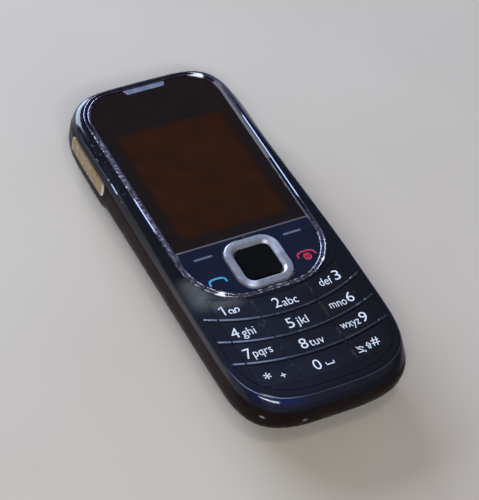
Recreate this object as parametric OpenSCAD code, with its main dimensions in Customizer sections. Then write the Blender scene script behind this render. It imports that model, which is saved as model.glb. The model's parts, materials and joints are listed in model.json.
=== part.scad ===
// Candybar feature phone, lying on its back.
// +X to the right of the keypad, +Y to the earpiece end, +Z out of the front.
// The origin is under the middle of the phone, at the lowest point of the rear hump. Units are millimetres.

/* [Overall size] */
// Length of the phone, end to end
length = 107; // [105:0.5:112]
// Width of the phone across its sides
width = 46; // [45.5:0.5:50]
// Depth from the rear hump to the top of the navigation ring
depth = 13.8; // [13.6:0.1:16]

/* [Housing] */
// Wall of the rear mouldings and of the front cover's sides
wall = 1.2; // [1:0.1:1.4]
// Thickness of the front cover's face
front_wall = 1.8; // [1.7:0.1:2]
// Depth of the seam below the front face
seam_drop = 2.6; // [2.4:0.1:2.8]
// How far the hump stands behind the battery cover
hump_rise = 1.2; // [0.8:0.1:1.6]
// Length of the hump from the top end
hump_length = 29.6; // [27:0.2:31]
// Length of the slope at the hump's lower edge
hump_slope = 2.4; // [2:0.2:3]
// How far the face lies inside the widest outline beside the window
shoulder_w = 3; // [2.4:0.1:3]
// Depth over which the shoulder rounds off
shoulder_drop = 4; // [3:0.2:5]
// How far the face lies inside the widest outline beside the keypad
keypad_edge = 0.5; // [0.4:0.1:1]
// Depth over which the keypad's edge rounds off
keypad_edge_drop = 0.6; // [0.5:0.1:1.2]
// How far the face lies inside the top end
top_edge = 1.7; // [1.3:0.1:1.8]
// How far the face lies inside the bottom end
chin = 3.8; // [3:0.1:4.6]
// Depth over which the chin slopes out to the bottom end
chin_drop = 4; // [3:0.2:5]
// How far the line round the keypad's film lies inside the face
film_edge_in = 0.9; // [0.7:0.1:1.2]
// Width of the line round the film
film_edge_w = 0.25; // [0.2:0.05:0.4]
// Depth of the line round the film
film_edge_drop = 0.17; // [0.12:0.05:0.22]
// Width of the rounding along the rear edges
rear_round = 4.4; // [3:0.2:5.4]
// Height of the rounding along the rear edges
rear_round_h = 6; // [5:0.2:6.6]
// Width of the rounding under the bottom end
tail_round = 7; // [6:0.5:9]
// Height of the rounding under the bottom end
tail_round_h = 6.4; // [6:0.2:7.6]
// Length of the silver insert in each side of the hump
insert_l = 18.2; // [16:0.2:18.6]
// Height of the silver insert
insert_h = 4.1; // [3.6:0.1:4.4]
// Length over which the outline bends round the top end
top_bend = 21.7; // [18:0.5:24]
// Squareness of the top corners, 2 is an ellipse
top_power = 4; // [3:0.1:4.4]
// Squareness of the face's top corners
face_power = 4.8; // [4.7:0.1:6]
// Length over which the outline bends round the bottom end
low_bend = 20.3; // [18:0.5:24]
// Squareness of the bottom corners, 2 is an ellipse
low_power = 3.2; // [3:0.1:3.8]
// Squareness of the bottom corners at the back
tail_power = 3.6; // [3:0.1:4]

/* [Window and trim] */
// Width across the chrome trim
trim_w = 39.4; // [39:0.1:40]
// Distance from the top end to the trim
trim_top = 1.9; // [1.9:0.1:2.4]
// Length of the trim
trim_h = 71.5; // [71:0.1:72]
// Width of the trim's band along its sides
trim_band = 1.4; // [1.2:0.1:1.8]
// Width of the trim's band at its top and bottom
trim_band_end = 1; // [0.8:0.1:1.2]
// Thickness of the trim
trim_t = 0.9; // [0.7:0.1:1]
// How far the trim stands above the face
trim_rise = 0.15; // [0.1:0.05:0.3]
// Depth of the groove along the trim's middle
trim_groove = 0.2; // [0.1:0.05:0.3]
// Width of the trim's bar under the window
trim_bar = 0.4; // [0.3:0.05:0.5]
// Corner radius of the trim's top
trim_r_top = 9.5; // [9.3:0.1:11]
// Corner radius of the trim's bottom
trim_r_low = 14; // [12:0.5:15]
// Thickness of the display window
window_t = 1; // [0.8:0.1:1.1]
// Distance from the top end to the window's lower edge
window_end = 55.7; // [55.4:0.1:55.9]
// Width of the picture area
view_w = 29.2; // [27:0.2:29.6]
// Height of the picture area
view_h = 35.4; // [33:0.2:36]
// Distance from the top end to the picture area
view_top = 17.1; // [16.5:0.1:17.6]
// Border of the display glass round the picture area
glass_border = 1.9; // [1.5:0.1:2]
// Thickness of the display glass
glass_t = 0.45; // [0.3:0.05:0.5]
// Width of the earpiece bar along its upper edge
ear_w = 11.4; // [9:0.2:12]
// Height of the earpiece bar
ear_h = 1.5; // [1.2:0.1:2]
// How much shorter the bar is at each end of its lower edge
ear_slant = 0.6; // [0.2:0.1:1]
// Distance from the top end to the earpiece bar
ear_top = 3.1; // [3.1:0.1:3.4]

/* [Navigation keys] */
// Width of the navigation ring
nav_w = 15; // [14:0.2:15.4]
// Height of the navigation ring
nav_h = 14.7; // [14:0.1:14.8]
// Corner radius of the ring's outside
nav_r = 4.4; // [3.8:0.1:5]
// Width of the ring's band
nav_band = 2.5; // [2.2:0.1:2.8]
// Distance from the window's lower edge to the middle of the ring
nav_down = 8.7; // [8.5:0.1:8.8]
// How far the ring stands above the face
ring_rise = 0.5; // [0.3:0.1:0.8]
// How far the select key stands above the face
select_rise = 0.15; // [0:0.05:0.2]
// Thickness of the function keys
function_t = 1.2; // [0.9:0.1:1.3]
// Thickness of the plate under the ring
carrier_t = 0.35; // [0.3:0.05:0.4]
// Running clearance round the navigation keys
nav_gap = 0.25; // [0.2:0.05:0.3]

/* [Number keys] */
// Width of the key field
field_w = 36; // [34.5:0.1:36]
// Width of the middle column
column_w = 15.4; // [14:0.2:16.4]
// Distance from the window's lower edge to the first row's lower edge
first_row = 25.1; // [24.6:0.1:25.4]
// Distance between rows at the middle
row_pitch = 6.35; // [6.1:0.05:6.5]
// Radius of the first row's curve
row_r = 52; // [50:1:70]
// How much each row's curve is wider than the one above
row_r_step = 10; // [5:1:12]
// Height of a number key
key_t = 1.55; // [1.4:0.05:1.6]
// Gap between keys
key_gap = 0.2; // [0.15:0.05:0.4]
// Gap between the keys and the front cover
edge_gap = 0.12; // [0.1:0.02:0.3]
// Radius of the ridge along each row
ridge_r = 0.28; // [0.2:0.02:0.34]
// Width of the frame between the trim and the first row
frame_w = 0.35; // [0.3:0.05:0.6]

/* [Inside] */
// Thickness of the rubber key mat
mat_t = 0.4; // [0.3:0.05:0.45]
// Width of the circuit board, the mat and the display stack
board_w = 33.8; // [33.4:0.1:34]
// Thickness of the circuit board
board_t = 0.8; // [0.6:0.1:0.9]
// Depth of the board's upper side below the front face
board_drop = 3; // [2.9:0.05:3.1]
// Height of the shield cans
can_h = 1.15; // [0.9:0.05:1.2]
// Width of the battery
battery_w = 34; // [30:0.5:34.5]
// Length of the battery
battery_l = 53; // [48:0.5:53]
// Thickness of the battery
battery_t = 5.4; // [4.6:0.1:5.5]
// Radius of the charger socket's bore
charger_r = 1.05; // [0.9:0.05:1.1]
// Radius of the headset socket's bore
headset_r = 1.3; // [1.2:0.05:1.5]
// Depth of both bores
socket_depth = 8; // [7:0.5:8.5]
// Distance of each socket from the middle
socket_x = 9; // [8:0.5:10]
// Distance of each screw from the middle
screw_x = 18.9; // [18.8:0.1:19]
// Clearance round pieces that are fixed
fit = 0.15; // [0.1:0.05:0.2]
// Gap between faces that lie on each other
seat = 0.05; // [0.03:0.01:0.08]

/* [Hidden] */
$fn = 96;

// Sizes along and across the phone are given for this length and width, and follow the phone's own
given_length = 107;
given_width = 46;
along = length / given_length;
across = width / given_width;
real_trim_w = across * trim_w;
real_view_w = across * view_w;
real_nav_w = across * nav_w;
real_field_w = across * field_w;
real_column_w = across * column_w;
real_board_w = across * board_w;
real_battery_w = across * battery_w;
real_socket_x = across * socket_x;
real_screw_x = across * screw_x;
real_hump_length = along * hump_length;
real_insert_l = along * insert_l;
real_top_bend = along * top_bend;
real_low_bend = along * low_bend;
real_trim_h = along * trim_h;
real_window_end = along * window_end;
real_view_h = along * view_h;
real_view_top = along * view_top;
real_nav_h = along * nav_h;
real_nav_down = along * nav_down;
real_first_row = along * first_row;
real_row_pitch = along * row_pitch;
real_battery_l = along * battery_l;

// Heights of the stack, from the front face down and from the back up
front_z = depth - ring_rise;
face_under_z = front_z - front_wall;
seam_z = front_z - seam_drop;
mat_top = face_under_z - 2 * seat;
mat_z = mat_top - mat_t;
board_top = front_z - board_drop;
board_z = board_top - board_t;
chassis_top = board_z - can_h - seat;
floor_extra = 0.1;
hump_floor = wall + floor_extra;
battery_z = hump_rise + wall + seat;
chassis_z = battery_z + battery_t + seat;
key_z = front_z - key_t;
function_drop = 0.1;
function_z = front_z - function_t - function_drop;
carrier_z = mat_top + nav_gap;
ring_z = carrier_z + carrier_t + nav_gap;
film_t = 0.1;
dome_h = 0.25;

// Places along the phone
top_y = length / 2;
low_y = -length / 2;
line_y = top_y - real_window_end;
nav_y = line_y - real_nav_down;
hump_y = top_y - real_hump_length;
trim_top_y = top_y - trim_top;
trim_low_y = trim_top_y - real_trim_h;
view_y = top_y - real_view_top - real_view_h / 2;
ear_y = top_y - ear_top;
board_low_y = line_y - real_first_row - 3 * real_row_pitch - fit;
contact_l = 2;
contact_room = 0.7;
battery_top_y = hump_y - contact_l - contact_room;
battery_low_y = battery_top_y - real_battery_l;

// Switches under the two ends of each function key, and the rib between them
soft_down = 3.6;
call_down = 11.3;
rocker_y = [line_y - along * soft_down, line_y - along * call_down];
rocker_axis_y = (rocker_y[0] + rocker_y[1]) / 2;
rocker_in = 1.3;
rocker_x = (real_nav_w + real_trim_w) / 4 - rocker_in;
rib_w = 0.6;
rib_l = 4;

// Band of the navigation ring
nav_r_in = nav_r - nav_band;
ring_edge = 0.45;
ring_slope = 0.8;

// Screws and the bosses that they turn into
screw_up = 16;
screw_down = 26;
screw_y = [line_y + along * screw_up, line_y - along * screw_down];
boss_r = 1.7;
pilot_r = 0.65;
shank_r = 0.55;
head_r = 1.4;
head_h = 0.7;

// Receiver, loudspeaker and sockets at the top end
receiver_w = 11;
receiver_l = 5.6;
receiver_t = front_z - window_t - seat - board_top - 2 * seat;
receiver_overlap = 0.4;
receiver_y = ear_y - ear_h - receiver_l / 2 + receiver_overlap;
socket_w = 6;
socket_h = 4.6;
socket_z = board_z - seat - socket_h / 2;
barrel_r = 1.95;
barrel_l = 2.4;
socket_recess = 0.35;
socket_end_y = top_y - socket_recess;
speaker_r = 7;
speaker_t = 3;
speaker_gap = 4;
speaker_y = hump_y + along * speaker_gap + speaker_r;

// Inserts in the hump's sides
insert_down = 0.2;
insert_margin = 1.2;
insert_t = 0.6;
insert_r = 1.4;
insert_rise = 0.12;
insert_low = seam_z - insert_down - insert_h;
insert_y = hump_y + insert_margin;

// What holds the battery cover
seam_gap = 0.1;
cover_gap = 0.2;
chassis_gap = 0.5;
lug_w = 3;
lug_reach = 0.75;
tab_w = 2.4;
tab_t = 0.8;
tab_room = 0.4;
tab_x = real_battery_w / 2 + tab_room + tab_w / 2;
tab_z = hump_rise + wall + 2 * fit;

// The outline of the body, as rings that are lofted from the back to the front
arc_steps = 24;
taper_steps = 4;
low_steps = 7;
side_steps = 1 + taper_steps + low_steps;
taper_gap = 0.45;
blend_down = 12;
blend_up = 36;
blend_low = line_y - along * blend_down;
blend_high = line_y + along * blend_up;
blend_power = 1.3;
edge_power = 1.7;
chin_power = 1.35;
lip_r = 0.5;
corner_drop = 3.3;
front_drops = [0, 0.1, 0.3, 0.6, 1, 1.5, 2, 2.6, 3.3, 4];
rear_steps = 7;
level_gap = 0.2;

function smooth(t) = let (u = min(1, max(0, t))) u * u * (3 - 2 * u);
function signed_power(v, p) = sign(v) * pow(abs(v), p);
function edge(d, w, drop, p) = d >= drop ? 0 : w * (1 - pow(1 - pow(1 - d / drop, p), 1 / p));
function lip(d) = edge(d, lip_r, lip_r, 2);
function rear(z, back, w, h) = let (u = min(1, max(0, (back + h - z) / h))) w * (1 - sqrt(1 - u * u));
function shoulder(y) = pow(min(1, max(0, (y - blend_low) / (blend_high - blend_low))), blend_power);
function side_in(y, d) = edge(d, keypad_edge, keypad_edge_drop, 2) * (1 - shoulder(y))
    + edge(d, shoulder_w, shoulder_drop, edge_power) * shoulder(y);
function hump_back(y) = hump_rise * (1 - smooth((y - hump_y) / hump_slope));
function half_width(y, z, back, in) = width / 2 - in - side_in(y, front_z - z)
    - rear(z, max(back, hump_back(y)), rear_round, rear_round_h);
function top_reach(z, back, in) = top_y - in - edge(front_z - z, top_edge, shoulder_drop, edge_power)
    - rear(z, back, rear_round, rear_round_h);
function low_reach(z, back, in) = low_y + in + edge(front_z - z, chin - lip_r, chin_drop, chin_power)
    + lip(front_z - z) + rear(z, back, tail_round, tail_round_h);
function corner_power(z) = face_power + (top_power - face_power) * smooth((front_z - z) / corner_drop);
function low_corner(z) = low_power + (tail_power - low_power) * smooth((front_z - z) / chin_drop);

// Places along a straight side, closer to each other where the hump tapers off
function side_y(top, low, i) = let (
    high = min(top - taper_gap, hump_y + hump_slope + taper_gap / 2),
    foot = hump_y - taper_gap)
    i == 0 ? top
    : i <= taper_steps + 1 ? high + (foot - high) * (i - 1) / taper_steps
    : foot + (low - foot) * (i - 1 - taper_steps) / low_steps;

// One ring of the outline at height z, counter-clockwise, set in by a given amount
function ring(z, back, in) = let (
    t = top_reach(z, back, in),
    b = low_reach(z, back, in),
    side_low = b + real_low_bend,
    side_top = t - real_top_bend)
    concat(
        [for (i = [1 : arc_steps - 1]) let (
            a = 180 * i / arc_steps,
            y = side_top + real_top_bend * pow(sin(a), 2 / corner_power(z)))
            [half_width(y, z, back, in) * signed_power(cos(a), 2 / corner_power(z)), y, z]],
        [for (i = [0 : side_steps]) let (y = side_y(side_top, side_low, i))
            [-half_width(y, z, back, in), y, z]],
        [for (i = [1 : arc_steps - 1]) let (
            a = 180 + 180 * i / arc_steps,
            y = side_low - real_low_bend * pow(abs(sin(a)), 2 / low_corner(z)))
            [half_width(y, z, back, in) * signed_power(cos(a), 2 / low_corner(z)), y, z]],
        [for (i = [side_steps : -1 : 0]) let (y = side_y(side_top, side_low, i))
            [half_width(y, z, back, in), y, z]]);

function rear_levels(back) =
    [for (i = [0 : rear_steps]) back + tail_round_h * (1 - cos(90 * i / rear_steps))];
function levels(back) = let (last = len(front_drops) - 1, front_low = front_z - front_drops[last])
    concat([for (z = rear_levels(back)) if (z < front_low - level_gap) z],
        [for (i = [last : -1 : 0]) front_z - front_drops[i]]);

// A solid through rings of equal length
module loft(rings) {
    n = len(rings[0]);
    last = len(rings) - 1;
    polyhedron(
        points = [for (r = rings) each r],
        faces = concat(
            [[for (i = [0 : n - 1]) i]],
            [for (k = [0 : last - 1], i = [0 : n - 1]) let (j = (i + 1) % n)
                [k * n + i, (k + 1) * n + i, (k + 1) * n + j]],
            [for (k = [0 : last - 1], i = [0 : n - 1]) let (j = (i + 1) % n)
                [k * n + i, (k + 1) * n + j, k * n + j]],
            [[for (i = [n - 1 : -1 : 0]) last * n + i]]),
        convexity = 4);
}

// The body's outside down to a given back
module body_outside(back) {
    loft([for (z = levels(back)) ring(z, back, 0)]);
}

// The hollow inside the body's walls, from a floor up to a ceiling
module body_inside(back, floor_z, ceiling_z) {
    inner = [for (z = levels(back)) if (z > floor_z + level_gap && z < ceiling_z - level_gap / 2) z];
    loft([for (z = concat([floor_z], inner, [ceiling_z])) ring(z, back, wall)]);
}

// A large block above or below a height, or on one side of a place along the phone
module block(y_from, y_to, z_from, z_to) {
    translate([-width, y_from, z_from])
        cube([2 * width, y_to - y_from, z_to - z_from]);
}

// A rectangle with round corners about the origin
module round_rect(w, h, r) {
    square([w - 2 * r, h], center = true);
    square([w, h - 2 * r], center = true);
    for (x = [-1, 1], y = [-1, 1])
        translate([x * (w / 2 - r), y * (h / 2 - r)])
            circle(r);
}

// The shield outline of the trim, set in from its outside
module shield(in_side, in_end) {
    half = real_trim_w / 2 - in_side;
    high = trim_top_y - in_end;
    low = trim_low_y + in_end;
    r_top = trim_r_top - in_end;
    r_low = trim_r_low - in_end;
    translate([-half, low + r_low])
        square([2 * half, high - r_top - low - r_low]);
    translate([r_top - half, low + r_low])
        square([2 * (half - r_top), high - low - r_low]);
    translate([r_low - half, low])
        square([2 * (half - r_low), high - r_top - low]);
    for (x = [-1, 1]) {
        translate([x * (half - r_top), high - r_top])
            circle(r_top);
        translate([x * (half - r_low), low + r_low])
            circle(r_low);
    }
}

// The rows of number keys: everything above a row's lower curve
function row_y(i) = line_y - real_first_row - real_row_pitch * i;
function curve_r(i) = row_r + row_r_step * i;

module above_row(i, shift = 0) {
    translate([0, row_y(i) + curve_r(i) + shift])
        circle(curve_r(i), $fn = 240);
}

// The opening that the number keys stand in
module key_field(grow) {
    difference() {
        intersection() {
            translate([-real_field_w / 2 - grow, row_y(3) - real_field_w])
                square([real_field_w + 2 * grow, 2 * real_field_w + real_row_pitch * 3]);
            above_row(3, -grow);
        }
        above_row(-1, grow - edge_gap);
        shield(grow - edge_gap - frame_w - fit, grow - edge_gap - frame_w - fit);
    }
}

// The outline of one number key
module key_outline(column, row) {
    half = real_column_w / 2;
    x_from = column == 0 ? -half + key_gap / 2 : half + key_gap / 2;
    x_wide = column == 0 ? real_column_w - key_gap : real_field_w;
    mirror([column < 0 ? 1 : 0, 0])
        intersection() {
            key_field(0);
            translate([x_from, row_y(3) - real_field_w])
                square([x_wide, 3 * real_field_w]);
            difference() {
                above_row(row);
                above_row(row - 1, -key_gap);
            }
        }
}

// The raised ridge along a row's lower edge between two places across the phone
ridge_in = 1.2 * ridge_r;
function ridge_y(row, x) = row_y(row) + curve_r(row) - sqrt(pow(curve_r(row) - ridge_in, 2) - x * x);

module ridge(row, x_from, x_to) {
    r = curve_r(row) - ridge_in;
    a_from = asin(x_from / r);
    a_to = asin(x_to / r);
    translate([0, row_y(row) + curve_r(row), front_z])
        rotate([0, 0, a_from - 90])
            rotate_extrude(angle = a_to - a_from, $fn = 240)
                translate([r, 0])
                    circle(ridge_r, $fn = 24);
}

// A number key with the ridge along its lower edge
module number_key(column, row) {
    ridge_end = key_gap / 2 + 0.1;
    x_inner = real_column_w / 2 + ridge_end;
    x_outer = real_field_w / 2 - ridge_end;
    x_middle = real_column_w / 2 - ridge_end;
    color([0.1, 0.1, 0.12]) {
        translate([0, 0, key_z])
            linear_extrude(key_t)
                key_outline(column, row);
        if (row < 3 && column < 0)
            ridge(row, -x_outer, -x_inner);
        if (row < 3 && column == 0)
            ridge(row, -x_middle, x_middle);
        if (row < 3 && column > 0)
            ridge(row, x_inner, x_outer);
    }
}

// A bar with round ends along X
module round_bar(w, h, t) {
    hull()
        for (x = [-1, 1])
            translate([x * (w - h) / 2, 0, 0])
                cylinder(d = h, h = t, $fn = 20);
}

// The places of the posts and domes under the keys
key_x = (real_field_w / 2 + real_column_w / 2) / 2;
function post_y(column, row) =
    row_y(row) + real_row_pitch / 2 + (column == 0 ? 0 : key_x * key_x / (2 * curve_r(row)));
post_places = concat(
    [for (column = [-1, 0, 1], row = [0 : 3]) [column * key_x, post_y(column, row)]],
    [for (x = [-1, 1], y = rocker_y) [x * rocker_x, y]],
    [for (a = [0 : 90 : 270])
        [cos(a) * (real_nav_w - nav_band) / 2, nav_y + sin(a) * (real_nav_h - nav_band) / 2]],
    [[0, nav_y]]);

module at_screws() {
    for (x = [-1, 1], y = screw_y)
        translate([x * real_screw_x, y, 0])
            children();
}

// The earpiece bar's outline, shorter along its lower edge
module ear_outline(grow) {
    w = ear_w / 2 + grow;
    translate([0, ear_y])
        polygon([[-w, grow], [w, grow], [w - ear_slant, -ear_h - grow], [ear_slant - w, -ear_h - grow]]);
}

// Front cover: lofted shell with the window seat, the key opening, row ridges and screw bosses
module front_cover() {
    bar_steps = 2;
    bar_from = real_field_w / 2 + edge_gap + ridge_r;
    bar_to = width / 2 - keypad_edge - film_edge_in - film_edge_w - ridge_r;
    color([0.05, 0.05, 0.06]) difference() {
        union() {
            difference() {
                body_outside(hump_rise);
                block(-length, length, -1, seam_z);
                body_inside(hump_rise, seam_z - wall, face_under_z);
            }
            at_screws()
                translate([0, 0, chassis_top + seat])
                    cylinder(r = boss_r, h = face_under_z + front_wall / 3 - chassis_top - seat, $fn = 32);
            for (side = [-1, 1], row = [0 : 2], i = [0 : bar_steps - 1])
                hull()
                    for (j = [i, i + 1])
                        let (x = bar_from + (bar_to - bar_from) * j / bar_steps)
                            translate([side * x, ridge_y(row, x), front_z])
                                sphere(ridge_r, $fn = 12);
        }
        translate([0, 0, front_z - trim_t + trim_rise - seat])
            linear_extrude(trim_t)
                shield(-fit, -fit);
        translate([0, 0, front_z - window_t - seat])
            linear_extrude(window_t + 1)
                shield(trim_band, trim_band_end);
        translate([0, view_y, seam_z])
            linear_extrude(seam_drop)
                round_rect(real_view_w + glass_border, real_view_h + glass_border, 1);
        translate([0, 0, seam_z])
            linear_extrude(seam_drop)
                intersection() {
                    shield(trim_band, trim_band_end);
                    translate([-width / 2, line_y - length])
                        square([width, length]);
                }
        translate([0, 0, face_under_z - 2 * seat - mat_t])
            linear_extrude(front_wall + 1)
                key_field(edge_gap);
        translate([0, receiver_y, seam_z])
            linear_extrude(seam_drop - window_t)
                round_rect(receiver_w + 4 * fit, receiver_l + 4 * fit, 1.5);
        translate([0, 0, seam_z])
            linear_extrude(seam_drop)
                ear_outline(-fit);
        translate([0, 0, front_z - film_edge_drop])
            linear_extrude(1)
                film_edge();
        at_screws()
            translate([0, 0, chassis_top])
                cylinder(r = pilot_r, h = face_under_z - fit - chassis_top, $fn = 24);
    }
}

// The line round the keypad's film, along the face's edge from the first row down
module film_edge() {
    intersection() {
        difference() {
            face_outline(film_edge_in);
            face_outline(film_edge_in + film_edge_w);
        }
        translate([-width, row_y(0) - length])
            square([2 * width, length]);
    }
}

module face_outline(in) {
    polygon([for (p = ring(front_z, hump_rise, in)) [p[0], p[1]]]);
}

// Chrome line round the window and the navigation keys
module window_trim() {
    line = 0.22;
    color([0.62, 0.58, 0.68])
        translate([0, 0, front_z - trim_t + trim_rise]) {
            difference() {
                linear_extrude(trim_t)
                    trim_ring(0, 1);
                translate([0, 0, trim_t - trim_groove])
                    linear_extrude(trim_t)
                        trim_ring(line, 1 - line);
            }
            translate([-real_trim_w / 2 + 0.7 * trim_band, line_y - trim_bar / 2, 0])
                cube([real_trim_w - 1.4 * trim_band, trim_bar, trim_t - trim_groove]);
        }
}

// The part of the trim's band between two fractions of its width
module trim_ring(from, to) {
    difference() {
        shield(from * trim_band, from * trim_band_end);
        shield(to * trim_band, to * trim_band_end);
    }
}

// Gloss black lens
module display_window() {
    color([0.02, 0.02, 0.03])
        translate([0, 0, front_z - window_t])
            linear_extrude(window_t)
                difference() {
                    intersection() {
                        shield(trim_band + fit, trim_band_end + fit);
                        translate([-width / 2, line_y + trim_bar / 2 + fit])
                            square([width, length]);
                    }
                    ear_outline(fit / 2);
                }
}

// Silver bar over the earpiece, seated in a slot of the window
module earpiece_grille() {
    color([0.75, 0.78, 0.8])
        translate([0, 0, front_z - window_t])
            linear_extrude(window_t)
                ear_outline(0);
}

// Earpiece capsule on the board
module earpiece_receiver() {
    color([0.3, 0.3, 0.32])
        translate([0, receiver_y, board_top + seat])
            linear_extrude(receiver_t)
                round_rect(receiver_w, receiver_l, 1.4);
}

// Display glass under the window
module lcd_panel() {
    color([0.16, 0.1, 0.07])
        translate([0, view_y, face_under_z - 2 * seat - glass_t / 2])
            cube([real_view_w + 2 * glass_border, real_view_h + 2 * glass_border, glass_t], center = true);
}

// Light guide and holder that carries the display glass on the board
module lcd_light_guide() {
    guide_t = face_under_z - 2 * seat - glass_t - board_top - 2 * seat;
    color([0.85, 0.85, 0.8])
        translate([0, view_y, board_top + seat + guide_t / 2])
            cube([real_view_w + 2 * glass_border, real_view_h + 2 * glass_border, guide_t], center = true);
}

// One half of the plate round the navigation ring, with the rib that it rocks on
module function_key(side) {
    rib_h = function_z - mat_top - seat;
    color([0.1, 0.11, 0.16])
        mirror([side < 0 ? 1 : 0, 0, 0]) {
            translate([0, 0, function_z])
                linear_extrude(function_t)
                    difference() {
                        intersection() {
                            shield(trim_band + nav_gap, trim_band_end + nav_gap);
                            translate([nav_gap / 2, line_y - trim_bar / 2 - nav_gap - length])
                                square([width, length]);
                        }
                        translate([0, nav_y])
                            round_rect(real_nav_w + 2 * nav_gap, real_nav_h + 2 * nav_gap, nav_r + nav_gap);
                    }
            translate([rocker_x - rib_l / 2, rocker_axis_y - rib_w / 2, mat_top + seat])
                cube([rib_l, rib_w, rib_h + function_t / 2]);
        }
}

module left_function_key() {
    function_key(-1);
}

module right_function_key() {
    function_key(1);
}

// A band round a rounded rectangle from a profile whose X counts from the band's inside
module swept_band(w, h, r, band) {
    for (i = [0 : 3]) {
        across = i % 2 == 0 ? w : h;
        along = i % 2 == 0 ? h : w;
        rotate([0, 0, 90 * i]) {
            translate([across / 2 - band, along / 2 - r, 0])
                rotate([90, 0, 0])
                    linear_extrude(along - 2 * r)
                        children();
            translate([across / 2 - r, along / 2 - r, 0])
                rotate_extrude(angle = 90)
                    translate([r - band, 0])
                        children();
        }
    }
}

// Silver four-way ring, sloping down to the select key
module navi_ring() {
    color([0.78, 0.78, 0.82])
        translate([0, nav_y, 0])
            swept_band(real_nav_w, real_nav_h, nav_r, nav_band)
                polygon([[0, ring_z], [nav_band, ring_z], [nav_band, depth - ring_edge],
                    [nav_band - ring_edge / 3, depth - ring_edge / 3], [nav_band - ring_edge, depth],
                    [ring_slope, depth], [0, depth - ring_slope]]);
}

// Plate under the ring
module navi_carrier() {
    color([0.15, 0.15, 0.16])
        translate([0, nav_y, carrier_z])
            linear_extrude(carrier_t)
                difference() {
                    round_rect(real_nav_w - 2 * fit, real_nav_h - 2 * fit, nav_r - fit);
                    round_rect(real_nav_w - 2 * nav_band, real_nav_h - 2 * nav_band, nav_r_in);
                }
}

// Black key inside the ring
module select_key() {
    in = nav_band + nav_gap;
    color([0.03, 0.03, 0.04])
        translate([0, nav_y, key_z])
            linear_extrude(front_z + select_rise - key_z)
                round_rect(real_nav_w - 2 * in, real_nav_h - 2 * in, nav_r_in - nav_gap / 2);
}

module key_1() { number_key(-1, 0); }
module key_2() { number_key(0, 0); }
module key_3() { number_key(1, 0); }
module key_4() { number_key(-1, 1); }
module key_5() { number_key(0, 1); }
module key_6() { number_key(1, 1); }
module key_7() { number_key(-1, 2); }
module key_8() { number_key(0, 2); }
module key_9() { number_key(1, 2); }
module key_star() { number_key(-1, 3); }
module key_0() { number_key(0, 3); }
module key_hash() { number_key(1, 3); }

// Outline of the mat and of the film of domes under it
module mat_outline(in) {
    mat_h = line_y - nav_gap - board_low_y;
    corner = 4;
    translate([0, line_y - nav_gap - mat_h / 2])
        round_rect(real_board_w - 2 * in, mat_h - 2 * in, corner);
}

// Rubber mat with a post under each switch
module key_mat() {
    post_r = 0.9;
    post_h = mat_z - board_top - film_t - dome_h - 3 * seat;
    color([0.8, 0.8, 0.78]) {
        translate([0, 0, mat_z])
            linear_extrude(mat_t)
                mat_outline(0);
        for (p = post_places)
            translate([p[0], p[1], mat_z - post_h])
                cylinder(r = post_r, h = post_h + mat_t / 2, $fn = 24);
    }
}

// Film with a snap dome for each switch
module dome_sheet() {
    dome_r = 2;
    dome_top_r = 1.1;
    film_in = 0.4;
    color([0.7, 0.7, 0.72]) {
        translate([0, 0, board_top + seat])
            linear_extrude(film_t)
                mat_outline(film_in);
        for (p = post_places)
            translate([p[0], p[1], board_top + seat + film_t / 2])
                cylinder(r1 = dome_r, r2 = dome_top_r, h = film_t / 2 + dome_h, $fn = 32);
    }
}

// Circuit board
module circuit_board() {
    corner = 6;
    board_l = ear_y - receiver_overlap - board_low_y;
    color([0.05, 0.3, 0.18])
        translate([0, board_low_y + board_l / 2, board_z])
            linear_extrude(board_t)
                round_rect(real_board_w, board_l, corner);
}

// Metal cans over the circuits on the board's rear side
module shield_cans() {
    can_l = 26;
    can_pitch = 30;
    can_margin = 3;
    color([0.75, 0.75, 0.77])
        for (i = [-1, 1])
            translate([0, line_y + can_margin / 3 + i * along * can_pitch / 2, board_z - can_h / 2])
                cube([real_board_w - 2 * can_margin, along * can_l, can_h], center = true);
}

// Microphone on the board's lower end
module microphone() {
    capsule_r = 2;
    color([0.6, 0.6, 0.62])
        translate([0, board_low_y + 2 * capsule_r, board_z - can_h])
            cylinder(r = capsule_r, h = can_h);
}

// Vibration motor with its off-centre weight
module vibration_motor() {
    motor_r = 2;
    motor_l = 8;
    shaft_r = 0.4;
    weight_l = 3;
    weight_gap = 0.5;
    color([0.7, 0.7, 0.72])
        translate([speaker_r + 3 * motor_r - 1, hump_y + 3 * motor_r, hump_floor + seat + motor_r])
            rotate([-90, 0, 0]) {
                cylinder(r = motor_r, h = motor_l);
                cylinder(r = shaft_r, h = motor_l + weight_gap + weight_l);
                translate([0, 0, motor_l + weight_gap])
                    linear_extrude(weight_l)
                        difference() {
                            circle(motor_r - seat);
                            translate([-motor_r, -2 * motor_r - shaft_r / 2])
                                square(2 * motor_r);
                        }
            }
}

// Loudspeaker behind the slots of the hump
module loudspeaker() {
    magnet_r = 5;
    magnet_h = 1.2;
    color([0.2, 0.2, 0.22])
        translate([0, speaker_y, hump_floor + seat]) {
            cylinder(r = speaker_r, h = speaker_t - magnet_h);
            cylinder(r = magnet_r, h = speaker_t);
        }
}

// Antenna sheet on the hump's floor with two feet that rise to the board
module antenna() {
    sheet_w = 24;
    sheet_l = 5;
    sheet_t = 0.3;
    foot_w = 1;
    foot_x = 4;
    sheet_y = speaker_y + speaker_r + 1;
    color([0.8, 0.6, 0.35])
        translate([0, sheet_y, hump_floor + seat]) {
            translate([-sheet_w / 2, 0, 0])
                cube([sheet_w, along * sheet_l, sheet_t]);
            for (x = [-foot_x, foot_x])
                translate([x - foot_w / 2, 0, 0])
                    cube([foot_w, sheet_t, board_z - hump_floor - 2 * seat]);
        }
}

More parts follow.
